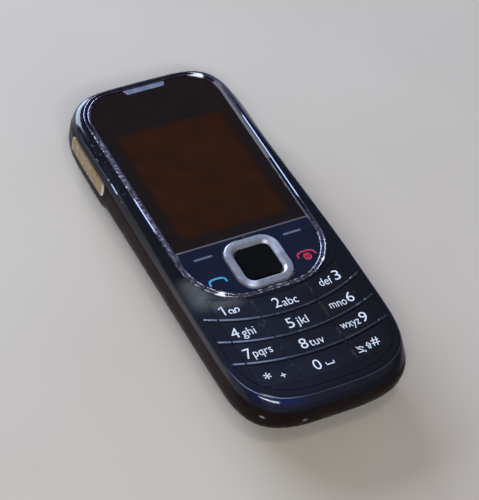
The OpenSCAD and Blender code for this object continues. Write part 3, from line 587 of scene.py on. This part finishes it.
# Light grey of the painted gleam towards the keys' end
LOWER_GLEAM_BRIGHT = (0.66, 0.66, 0.78)
GLINT_WHITE = (1.0, 0.97, 1.0)

# Centre, half size and share of the painted highlights at two corners of the ring
RING_GLEAMS = [
    ((-4.8, -16.8), (1.1, 0.9), 0.95),
    ((6.2, -8.0), (0.9, 2.4), 0.40),
]
RING_SOFT = 0.8
RING_HIGHLIGHT = (0.80, 0.84, 0.98)

# Where the painted highlight at the inserts' lower end starts and where it is full, from their foot
INSERT_REACH = 1.5
INSERT_CORE = 0.1
INSERT_GREY = (0.36, 0.285, 0.225)
INSERT_CHIPS_AND_HIGHLIGHT = (0.80, 0.79, 0.82)


def window_look():
    """Lens: black print round the picture area, which shows the dark brown display under it."""
    look = gloss("window_black", dark=(0.006, 0.0032, 0.0032), light=(0.009, 0.0050, 0.0050),
                 mark=(0.09, 0.08, 0.08), rough_low=0.03, rough_high=0.10, amount=-0.04)
    brown = look.ramp(look.noise(6), (0.3, BROWN_DARK), (0.7, BROWN_LIGHT))
    look.colour(look.blend(look.box_mask(*PICTURE), look.base, brown))
    return look.material


def trim_look():
    """Chrome lines with a dark groove between them, which is partly filled on the left and round the keys.
    One stretch of the outer line is broken into bright spots, and two carry a painted bluish reflection of a
    window.
    The lines towards the keys' end carry a painted gleam in patches, and three painted glints lie over them."""
    look = plated("trim_chrome", dark=(0.20, 0.18, 0.26), light=(0.40, 0.38, 0.50), worn=(0.09, 0.085, 0.11),
                  metallic=1.0, rough_low=0.10, rough_high=0.22, amount=-0.04, size=0.35, relief=0.003)
    groove = look.step("Z", *GROOVE_Z)
    lines = look.maths("SUBTRACT", 1.0, groove)

    def stretch(side, start, end):
        """A mask of the outer line on one side, between two places along the phone."""
        out = look.step("X", *(side * place for place in OUTER_LINE))
        inside = look.between("Y", (start - 1, start + 1), (end + 1, end - 1))
        return look.times(out, inside, lines)

    spots = look.spots(0.8, 0.55, 0.60)
    broken = stretch(*TRIM_BROKEN)
    # Painted reflection of a window along stretches of the outer line
    painted_gleam = look.most(*(stretch(*place) for place in TRIM_REFLECTED))
    gleam = look.spots(1.3, 0.44, 0.62, out_high=0.75)
    # Painted gleam in patches on the lines towards the keys' end
    lower_gleam = look.times(look.step("Y", *LOWER_GLEAM_Y), lines, gleam)
    glints = look.most(*(look.box_mask(*place) for place in TRIM_GLINTS))
    patchy = look.spots(0.9, 0.40, 0.60, out_low=0.25)
    lower_end = look.step("Y", *FILLED_Y, out_high=0.6)
    filled = look.times(look.most(look.box_mask(*TRIM_FILL), lower_end), groove, patchy)
    narrow = look.times(look.box_mask(*TRIM_NARROW), patchy)
    dulled = look.most(look.box_mask(*TRIM_DULL), narrow)
    bar = look.box_mask(*TRIM_BAR)
    tone = look.blend(groove, look.base, GROOVE_DARK)
    tone = look.blend(look.most(filled, bar), tone, FILL_GREY)
    tone = look.blend(dulled, tone, DULL_GREY)
    tone = look.blend(broken, tone, look.blend(spots, SPOT_DARK, SPOT_BRIGHT))
    # Painted reflection of a window along stretches of the outer line
    tone = look.blend(painted_gleam, tone, WINDOW_REFLECTION_BLUE)
    # Painted gleam towards the keys' end
    tone = look.blend(lower_gleam, tone, LOWER_GLEAM_BRIGHT)
    look.colour(look.blend(glints, tone, GLINT_WHITE))
    plain = look.most(broken, painted_gleam, lower_gleam, glints, filled, look.times(bar, 0.5), dulled)
    look.feed(look.shader.inputs["Metallic"], look.maths("SUBTRACT", 1.0, plain))
    return look.material


def bar_look():
    """Bar at the top of the window: satin silver."""
    look = plated("bar_silver", dark=(0.21, 0.235, 0.33), light=(0.26, 0.285, 0.39), worn=(0.16, 0.17, 0.22),
                  metallic=0.6, rough_low=0.35, rough_high=0.5, amount=-0.16, relief=0.004)
    return look.material


def ring_look():
    """Navigation ring: satin silver, with painted highlights at two corners."""
    look = plated("ring_silver", dark=(0.25, 0.25, 0.30), light=(0.33, 0.33, 0.38), worn=(0.20, 0.20, 0.24),
                  metallic=0.45, rough_low=0.28, rough_high=0.40, amount=-0.12, relief=0.004)
    # Painted highlights at two corners of the ring
    painted_gleam = 0.0
    for centre, half, share in RING_GLEAMS:
        gleam = look.times(look.box_mask(centre, half, RING_SOFT), share)
        painted_gleam = look.most(painted_gleam, gleam)
    look.colour(look.blend(painted_gleam, look.base, RING_HIGHLIGHT))
    return look.material


def insert_look():
    """Side inserts: worn plating, mottled gold and grey, with bright chips and a painted highlight at the
    lower end. The gold is a painted reflection of a wooden floor in silver plating.
    """
    # The gold in these tones is a painted reflection of a wooden floor in silver plating
    look = plated("insert_silver", dark=(0.24, 0.150, 0.048), light=(0.40, 0.262, 0.105),
                  worn=(0.85, 0.82, 0.80), metallic=0.7, rough_low=0.28, rough_high=0.42, amount=-0.025,
                  size=0.7, relief=0.008)
    patches = look.spots(2.4, 0.42, 0.62, out_high=0.75, detail=4, rough=0.65)
    tone = look.blend(patches, look.base, INSERT_GREY)
    chips = look.spots(0.9, 0.67, 0.71, detail=2, rough=0.6)
    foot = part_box("side_trims")[0].y
    # Painted highlight at the lower end, laid in the colour of the bright chips
    end = look.span(look.axis("Y"), foot + mm(INSERT_REACH), foot + mm(INSERT_CORE), out_high=0.8)
    look.colour(look.blend(look.most(chips, end), tone, INSERT_CHIPS_AND_HIGHLIGHT))
    return look.material


# Inner pieces

TRACK_GRID = 6
TRACK_SHARE = 0.03
TRACK_COPPER = (0.30, 0.24, 0.08)
BAND_HALF = 15
BAND_SOFT = 0.2
BAND_PALE = (0.42, 0.43, 0.45)


def board_look():
    """Green board with copper tracks."""
    look = dull("board_green", dark=(0.01, 0.10, 0.045), light=(0.015, 0.14, 0.06), rough=0.4)
    tracks = look.add("ShaderNodeTexBrick")
    tracks.inputs["Scale"].default_value = 1 / mm(TRACK_GRID)
    tracks.inputs["Mortar Size"].default_value = TRACK_SHARE
    tracks.inputs["Color1"].default_value = (0, 0, 0, 1)
    tracks.inputs["Color2"].default_value = (0, 0, 0, 1)
    tracks.inputs["Mortar"].default_value = (1, 1, 1, 1)
    look.feed(tracks.inputs["Vector"], look.place)
    look.colour(look.blend(tracks.outputs["Color"], look.base, TRACK_COPPER))
    return look.material


def cell_look():
    """Battery in printed wrap: a pale band round its middle, plain."""
    look = dull("cell_can", dark=(0.045, 0.047, 0.055), light=(0.06, 0.062, 0.07), rough=0.4, grain=0.5)
    low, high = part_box("battery")
    away = look.off(look.axis("Y"), (low.y + high.y) / 2)
    band = look.span(away, mm(BAND_HALF + BAND_SOFT), mm(BAND_HALF - BAND_SOFT))
    look.colour(look.blend(band, look.base, BAND_PALE))
    return look.material


def display_look():
    """Display glass under the lens: dark brown."""
    look = gloss("display_brown", dark=(0.020, 0.010, 0.006), light=(0.03, 0.015, 0.009),
                 mark=(0.06, 0.04, 0.03), rough_low=0.1, rough_high=0.2)
    return look.material


def tin_look():
    """Tin plate of the shield cans, the card holder and other metal inside, with grain along the phone."""
    look = plated("tin_plate", dark=(0.55, 0.55, 0.57), light=(0.68, 0.68, 0.70), worn=(0.45, 0.45, 0.47),
                  metallic=0.8, rough_low=0.25, rough_high=0.4, amount=-0.08, size=2, along=(1, 0.2, 1))
    return look.material


def gold_look():
    """Gold plate of the antenna and the battery's contacts."""
    look = plated("gold_plate", dark=(0.62, 0.45, 0.18), light=(0.75, 0.56, 0.25), worn=(0.5, 0.35, 0.14),
                  metallic=0.85, rough_low=0.2, rough_high=0.35, amount=-0.08)
    return look.material


def steel_look():
    """Steel of the screws."""
    look = plated("screw_steel", dark=(0.42, 0.42, 0.44), light=(0.55, 0.55, 0.57), worn=(0.3, 0.3, 0.31),
                  metallic=0.85, rough_low=0.25, rough_high=0.4, amount=-0.06)
    return look.material


def white_look():
    """White plastic of the light guide."""
    look = dull("white_plastic", dark=(0.62, 0.62, 0.58), light=(0.70, 0.70, 0.66), rough=0.45)
    return look.material


def grey_look():
    """Dark grey plastic of the sockets, the speakers and the ring's carrier."""
    look = dull("grey_plastic", dark=(0.05, 0.05, 0.055), light=(0.075, 0.075, 0.08), rough=0.5)
    return look.material


def rubber_look():
    """Pale rubber of the key mat."""
    look = dull("rubber_mat", dark=(0.45, 0.45, 0.43), light=(0.55, 0.55, 0.52), rough=0.6)
    return look.material


def make_looks():
    """The material of each of the record's slots, and of the select key."""
    return {
        "front_black": front_look(),
        "rear_black": rear_look(),
        "trim_chrome": trim_look(),
        "window_black": window_look(),
        "bar_silver": bar_look(),
        "ring_silver": ring_look(),
        "insert_silver": insert_look(),
        "function_blue": function_look(),
        "key_black": key_look(),
        "select_black": select_look(),
        "display_brown": display_look(),
        "white_plastic": white_look(),
        "grey_plastic": grey_look(),
        "rubber_mat": rubber_look(),
        "board_green": board_look(),
        "tin_plate": tin_look(),
        "gold_plate": gold_look(),
        "cell_can": cell_look(),
        "screw_steel": steel_look(),
    }


# Shading of the CAD nodes

LOFTED = ("front_cover", "rear_housing", "battery_cover")
LOFTED_ANGLE = 38
CRISP_ANGLE = 30
MERGE_WITHIN = 0.002
NORMAL_WEIGHT = 80

# Rounding of the sharp edges
BEVEL_ANGLE = 40
BEVEL_STEPS = 3
ROUND_OFF = {
    "select_key": 0.25,
    "display_window": 0.08,
    "earpiece_grille": 0.1,
    "window_trim": 0.06,
    "left_function_key": 0.12,
    "right_function_key": 0.12,
    "navi_ring": 0.15,
    "side_trims": 0.1,
    "battery": 0.4,
}
KEY_ROUND_OFF = 0.1


def shading_group(angle):
    """Joins split corners, then shades smooth except over edges sharper than the angle."""
    group = bpy.data.node_groups.new(f"shading_{angle}", "GeometryNodeTree")
    group.interface.new_socket("Geometry", in_out="INPUT", socket_type="NodeSocketGeometry")
    group.interface.new_socket("Geometry", in_out="OUTPUT", socket_type="NodeSocketGeometry")
    add, link = group.nodes.new, group.links.new
    start, end = add("NodeGroupInput"), add("NodeGroupOutput")
    strip = add("GeometryNodeRemoveAttribute")
    strip.inputs["Name"].default_value = "custom_normal"
    merge = add("GeometryNodeMergeByDistance")
    merge.inputs["Distance"].default_value = mm(MERGE_WITHIN)
    smooth = add("GeometryNodeSetShadeSmooth")
    bend = add("GeometryNodeInputMeshEdgeAngle")
    over = add("FunctionNodeCompare")
    over.data_type = "FLOAT"
    over.operation = "GREATER_THAN"
    over.inputs[1].default_value = math.radians(angle)
    crease = add("GeometryNodeSetShadeSmooth")
    crease.domain = "EDGE"
    crease.inputs["Shade Smooth"].default_value = False
    link(start.outputs[0], strip.inputs["Geometry"])
    link(strip.outputs["Geometry"], merge.inputs["Geometry"])
    link(merge.outputs["Geometry"], smooth.inputs["Geometry"])
    link(smooth.outputs["Geometry"], crease.inputs["Geometry"])
    link(bend.outputs["Unsigned Angle"], over.inputs[0])
    link(over.outputs[0], crease.inputs["Selection"])
    link(crease.outputs["Geometry"], end.inputs[0])
    return group


def shade(piece, group, round_off):
    """Smooth shading, and a small rounding of the sharp edges unless round_off is 0."""
    modifier = piece.modifiers.new("shading", "NODES")
    modifier.node_group = group
    if round_off:
        bevel = piece.modifiers.new("round_off", "BEVEL")
        bevel.width = mm(round_off)
        bevel.segments = BEVEL_STEPS
        bevel.limit_method = "ANGLE"
        bevel.angle_limit = math.radians(BEVEL_ANGLE)
        bevel.harden_normals = False
    weight = piece.modifiers.new("weight", "WEIGHTED_NORMAL")
    weight.keep_sharp = True
    weight.weight = NORMAL_WEIGHT


def dress_nodes():
    """A material and shading for each CAD node."""
    looks = make_looks()
    slots = {s["node"]: s["material_slot"] for s in frame["record"]["subparts"]}
    lofted, crisp = shading_group(LOFTED_ANGLE), shading_group(CRISP_ANGLE)
    for name, piece in frame["nodes"].items():
        piece.data.materials.clear()
        piece.data.materials.append(looks["select_black" if name == "select_key" else slots[name]])
        number_key = name.startswith("key_") and name != "key_mat"
        round_off = ROUND_OFF.get(name, KEY_ROUND_OFF if number_key else 0.0)
        shade(piece, lofted if name in LOFTED else crisp, round_off)


# Printed figures, letters and signs

# Dark and light tone of each ink
INKS = {
    "ink_white": ((0.58, 0.62, 0.70), (0.74, 0.78, 0.86)),
    "ink_cyan": ((0.03, 0.25, 0.44), (0.05, 0.33, 0.55)),
    "ink_red": ((0.38, 0.018, 0.045), (0.48, 0.028, 0.062)),
    "ink_grey": ((0.08, 0.09, 0.15), (0.12, 0.13, 0.20)),
}
INK_DEPTH = 0.02
DIGIT_HEIGHT = 2.9
DIGIT_WEIGHT = -0.015
LETTER_HEIGHT = 1.5
LETTER_WEIGHT = -0.012
CURVE_STEPS = 6

# Widths of the drawn strokes, and steps of their round ends
ONE_WIDTH = 0.36
SIGN_WIDTH = 0.3
FINE_WIDTH = 0.26
DASH_WIDTH = 0.55
CALL_WIDTH = 0.52
END_WIDTH = 0.45
CAP_STEPS = 6

# Key, figure, its width and centre, letters, their width and centre
KEYS = [
    ("key_2", "2", 1.85, (-2.2, -23.7), "abc", 4.1, (1.15, -24.2)),
    ("key_3", "3", 1.8, (15.8, -21.25), "def", 3.5, (12.3, -22.0)),
    ("key_4", "4", 2.0, (-16.15, -28.4), "ghi", 3.5, (-12.85, -29.35)),
    ("key_5", "5", 1.75, (-2.15, -30.3), "jkl", 3.0, (1.0, -30.8)),
    ("key_6", "6", 1.9, (15.5, -28.3), "mno", 4.6, (11.75, -29.3)),
    ("key_7", "7", 1.8, (-16.15, -34.85), "pqrs", 5.0, (-12.5, -36.0)),
    ("key_8", "8", 1.9, (-2.2, -36.8), "tuv", 3.9, (1.15, -37.35)),
    ("key_9", "9", 1.9, (15.5, -34.85), "wxyz", 5.3, (11.45, -36.05)),
    ("key_0", "0", 1.9, (-2.25, -43.4), "", 0, (0, 0)),
]

# Key, name of the sign, sign, its height, width, weight and centre
TYPED_SIGNS = [
    ("key_star", "figure", "*", 1.9, 1.8, 0.02, (-14.95, -42.2)),
    ("key_star", "plus", "+", 1.3, 1.3, 0.01, (-11.3, -43.3)),
    ("key_hash", "figure", "#", 2.4, 2.1, 0.0, (14.4, -42.3)),
]


def flat_piece(name, mesh, body, material):
    """A print on a key, which moves with that key's body."""
    piece = bpy.data.objects.new(name, mesh)
    bpy.context.scene.collection.objects.link(piece)
    mesh.materials.clear()
    mesh.materials.append(material)
    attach(piece, body)


def typed(curve, words):
    """The words as a mesh, with its left, right, low and high ends."""
    curve.body = words
    holder = bpy.data.objects.new("measure", curve)
    bpy.context.scene.collection.objects.link(holder)
    bpy.context.view_layer.update()
    shown = holder.evaluated_get(bpy.context.evaluated_depsgraph_get())
    mesh = bpy.data.meshes.new_from_object(shown)
    xs = [v.co.x for v in mesh.vertices]
    ys = [v.co.y for v in mesh.vertices]
    bpy.data.objects.remove(holder)
    return mesh, min(xs), max(xs), min(ys), max(ys)


def text_mesh(name, words, height, width, weight, centre, top, by_line=False):
    """A printed word as a thin raised mesh. height is the word's, or that of a small x if by_line is set."""
    curve = bpy.data.curves.new(name, "FONT")
    curve.size = 1.0
    curve.resolution_u = CURVE_STEPS
    trial, _, _, low, high = typed(curve, "x" if by_line else words)
    bpy.data.meshes.remove(trial)
    scale = mm(height) / (high - low)
    curve.offset = mm(weight) / scale
    curve.extrude = mm(INK_DEPTH) / 2 / scale
    mesh, left, right, low, high = typed(curve, words)
    mesh.name = name
    middle = Vector(((left + right) / 2, (low + high) / 2, 0))
    place = Vector((mm(centre[0]), mm(centre[1]), mm(top + INK_DEPTH / 2)))
    across = mm(width) / (right - left)
    for v in mesh.vertices:
        away = v.co - middle
        v.co = Vector((away.x * across, away.y * scale, away.z * scale)) + place
    bpy.data.curves.remove(curve)
    return mesh


def beside(start, end, width):
    """Half a stroke's width to the left of the way from start to end."""
    along = (end - start).normalized()
    return Vector((-along.y, along.x)) * width / 2


def add_stroke(bm, points, width):
    """One flat stroke along points, with round ends where it isn't closed."""
    left, right = [], []
    for i, p in enumerate(points):
        side = beside(points[max(0, i - 1)], points[min(len(points) - 1, i + 1)], width)
        left.append(p + side)
        right.append(p - side)
    closed = (points[0] - points[-1]).length < 1e-6
    if closed:
        side = beside(points[-2], points[1], width)
        left[0] = left[-1] = points[0] + side
        right[0] = right[-1] = points[0] - side
    rungs = [(bm.verts.new((a.x, a.y, 0)), bm.verts.new((b.x, b.y, 0))) for a, b in zip(left, right)]
    for (a, b), (c, d) in zip(rungs, rungs[1:]):
        bm.faces.new((a, b, d, c))
    if not closed:
        add_cap(bm, points[0], points[1], rungs[0], width)
        add_cap(bm, points[-1], points[-2], rungs[-1], width)


def add_cap(bm, tip, near, rung, width):
    """A round end at the tip of a stroke."""
    out = (tip - near).normalized()
    side = Vector((-out.y, out.x))
    cap = []
    for k in range(1, CAP_STEPS):
        t = math.pi * k / CAP_STEPS
        q = tip + (side * math.cos(t) + out * math.sin(t)) * width / 2
        cap.append(bm.verts.new((q.x, q.y, 0)))
    a, b = rung
    first, last = (b, a) if (a.co.xy - tip).dot(side) < 0 else (a, b)
    bm.faces.new([first, *cap, last])


def stroke_mesh(name, lines, width, top):
    """Thin raised strokes along lines of points."""
    bm = bmesh.new()
    for line in lines:
        add_stroke(bm, [Vector(p) for p in line], width)
    bmesh.ops.remove_doubles(bm, verts=bm.verts, dist=1e-5)
    bmesh.ops.recalc_face_normals(bm, faces=bm.faces)
    for f in bm.faces:
        if f.normal.z < 0:
            f.normal_flip()
    shell = bmesh.ops.extrude_face_region(bm, geom=bm.faces[:])
    lifted = [g for g in shell["geom"] if isinstance(g, bmesh.types.BMVert)]
    bmesh.ops.translate(bm, verts=lifted, vec=(0, 0, INK_DEPTH))
    bmesh.ops.recalc_face_normals(bm, faces=bm.faces)
    for v in bm.verts:
        v.co = Vector((mm(v.co.x), mm(v.co.y), mm(v.co.z + top)))
    mesh = bpy.data.meshes.new(name)
    bm.to_mesh(mesh)
    bm.free()
    return mesh


def arc(centre, radius, start, end, steps=20):
    """Points along an arc, with angles in degrees."""
    angles = [math.radians(start + (end - start) * i / steps) for i in range(steps + 1)]
    return [(centre[0] + radius * math.cos(a), centre[1] + radius * math.sin(a)) for a in angles]


def number_prints(white, top):
    """Figures and letters of the number keys, and the typed signs."""
    for key, figure, figure_w, figure_at, letters, letters_w, letters_at in KEYS:
        name = f"{key}_figure"
        mesh = text_mesh(name, figure, DIGIT_HEIGHT, figure_w, DIGIT_WEIGHT, figure_at, top)
        flat_piece(name, mesh, key, white)
        if letters:
            name = f"{key}_letters"
            mesh = text_mesh(name, letters, LETTER_HEIGHT, letters_w, LETTER_WEIGHT, letters_at, top, True)
            flat_piece(name, mesh, key, white)
    one = [[(-16.3, -20.75), (-15.5, -20.1), (-15.5, -22.75)]]
    flat_piece("key_1_figure", stroke_mesh("key_1_figure", one, ONE_WIDTH, top), "key_1", white)
    for key, sign, words, height, width, weight, centre in TYPED_SIGNS:
        name = f"{key}_{sign}"
        flat_piece(name, text_mesh(name, words, height, width, weight, centre, top), key, white)


def key_signs(white, top):
    """Drawn signs on the number keys: two reels, a space, an arrow and a mute sign."""
    reels = [
        arc((-13.75, -22.35), 0.55, 0, 360),
        arc((-12.25, -22.35), 0.55, 0, 360),
        [(-13.75, -22.9), (-12.25, -22.9)],
    ]
    space = [[(0.0, -43.7), (0.0, -44.3), (2.0, -44.3), (2.0, -43.7)]]
    arrow = [
        [(11.7, -42.7), (12.3, -41.9), (12.9, -42.7)],
        [(12.05, -42.7), (12.05, -43.7), (12.55, -43.7), (12.55, -42.7)],
    ]
    mute = [
        arc((10.0, -43.2), 0.75, 20, 160, 10),
        [(9.1, -43.9), (10.9, -43.9)],
        [(9.1, -42.3), (10.8, -44.2)],
    ]
    signs = [
        ("key_1", "reels", reels, SIGN_WIDTH),
        ("key_0", "space", space, SIGN_WIDTH),
        ("key_hash", "arrow", arrow, FINE_WIDTH),
        ("key_hash", "mute", mute, FINE_WIDTH),
    ]
    for key, sign, lines, width in signs:
        name = f"{key}_{sign}"
        flat_piece(name, stroke_mesh(name, lines, width, top), key, white)


def function_signs(grey, cyan, red, top):
    """Dashes of the soft keys, and the call and end handsets."""
    for side, body in ((LEFT, "left_function_key"), (RIGHT, "right_function_key")):
        name = f"{body}_dash"
        dash = [[(side * 10.1, -5.5), (side * 14.6, -5.5)]]
        flat_piece(name, stroke_mesh(name, dash, DASH_WIDTH, top), body, grey)
    call = [[
        (-14.6, -13.75), (-14.55, -12.95), (-14.2, -12.5), (-13.4, -12.25), (-12.4, -12.2),
        (-11.4, -12.25), (-10.6, -12.5), (-10.25, -12.95), (-10.2, -13.6),
    ]]
    flat_piece("call_symbol", stroke_mesh("call_symbol", call, CALL_WIDTH, top), "left_function_key", cyan)
    handset = [
        (9.8, -13.4), (9.85, -12.7), (10.3, -12.2), (11.2, -11.9), (12.2, -11.85),
        (13.2, -11.9), (14.1, -12.2), (14.55, -12.7), (14.6, -13.4),
    ]
    end = [handset, arc((12.2, -13.6), 0.85, 0, 360), [(12.2, -13.2), (12.2, -13.9)]]
    flat_piece("end_symbol", stroke_mesh("end_symbol", end, END_WIDTH, top), "right_function_key", red)


def add_prints():
    """All prints, on the tops of the number keys and of the function plates."""
    inks = {name: ink(name, *tones) for name, tones in INKS.items()}
    number_prints(inks["ink_white"], FACE_TOP)
    key_signs(inks["ink_white"], FACE_TOP)
    function_signs(inks["ink_grey"], inks["ink_cyan"], inks["ink_red"], PLATE_TOP)


# Floor

FLOOR_HALF = 3
FLOOR_CELLS = 8
FLOOR_MOTTLE = 60
FLOOR_ROUGH = 0.65
FLOOR_DARK = (0.48, 0.415, 0.345)
FLOOR_LIGHT = (0.51, 0.442, 0.370)


def add_floor():
    """A plain pale floor, FLOOR_HALF metres to each side."""
    look = Look("floor_pale")
    mottle = look.noise(FLOOR_MOTTLE, detail=3)
    look.colour(look.ramp(mottle, (0.3, FLOOR_DARK), (0.7, FLOOR_LIGHT)))
    look.rough(FLOOR_ROUGH)
    bm = bmesh.new()
    bmesh.ops.create_grid(bm, x_segments=FLOOR_CELLS, y_segments=FLOOR_CELLS, size=FLOOR_HALF)
    mesh = bpy.data.meshes.new("floor")
    bm.to_mesh(mesh)
    bm.free()
    floor = bpy.data.objects.new("floor", mesh)
    mesh.materials.append(look.material)
    floor.location.z = cad_low.z
    bpy.context.scene.collection.objects.link(floor)


bpy.context.scene.view_settings.view_transform = "Standard"
add_camera()
add_world()
for lamp in LAMPS:
    add_lamp(*lamp)
add_floor()
dress_nodes()
add_prints()
